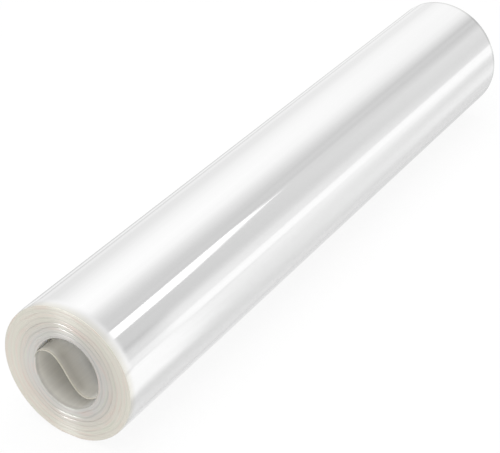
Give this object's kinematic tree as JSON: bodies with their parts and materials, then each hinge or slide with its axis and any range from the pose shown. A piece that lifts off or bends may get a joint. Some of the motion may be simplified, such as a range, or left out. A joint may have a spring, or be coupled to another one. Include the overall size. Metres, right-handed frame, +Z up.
{
  "type": "roll of acetate film",
  "caption": "Coreless roll of clear film on its side, with its wound turns showing on both ends, a free outer edge and the film's start crossing the bore in an S.",
  "frame": {"origin": "on the ground, in the middle of the flat spot that the roll rests on, half way along it", "axes": "+Z up, Y along the axis of the roll with the end that the picture shows at -Y, X across the roll"},
  "size_m": [0.0736, 0.406, 0.0734],
  "materials": {
    "film": "clear glossy film, wound"
  },
  "bodies": {
    "root": {"wound_film": "film"}
  },
  "joints": []
}
